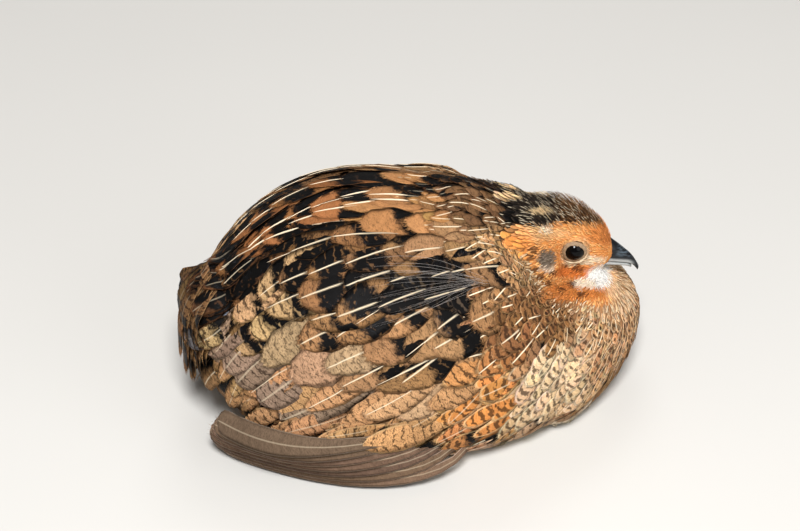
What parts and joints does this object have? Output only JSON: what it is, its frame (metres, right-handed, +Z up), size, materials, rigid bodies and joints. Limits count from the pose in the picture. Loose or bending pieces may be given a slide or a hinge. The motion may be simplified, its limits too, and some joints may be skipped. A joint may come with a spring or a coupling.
{
  "type": "quail",
  "caption": "Life-size hen quail crouched on the ground: rounded body, head drawn in and turned slightly right, short hooked bill, folded wings and drooping tail.",
  "frame": {"origin": "on the ground under the middle of the whole bird's box", "axes": "+X towards the bill, +Y to the bird's left, +Z up"},
  "size_m": [0.1164, 0.0878, 0.0599],
  "materials": {
    "body_plumage": "soft barred and streaked feathers",
    "head_plumage": "short rufous feathers, dark crown, white throat patch",
    "wing_plumage": "peppered brown feathers with pale shaft streaks and black blotches",
    "tail_plumage": "soft barred feathers",
    "bill_horn": "satin blue-black horn with a paler cutting edge",
    "eye": "wet gloss, very dark brown",
    "leg_scales": "scaled ochre skin"
  },
  "bodies": {
    "root": {"torso": "body_plumage", "neck": "body_plumage", "head": "head_plumage", "bill_upper": "bill_horn", "bill_lower": "bill_horn", "eye_right": "eye", "eye_left": "eye", "wing_right": "wing_plumage", "wing_left": "wing_plumage", "tail": "tail_plumage", "leg_right": "leg_scales", "leg_left": "leg_scales"}
  },
  "joints": []
}
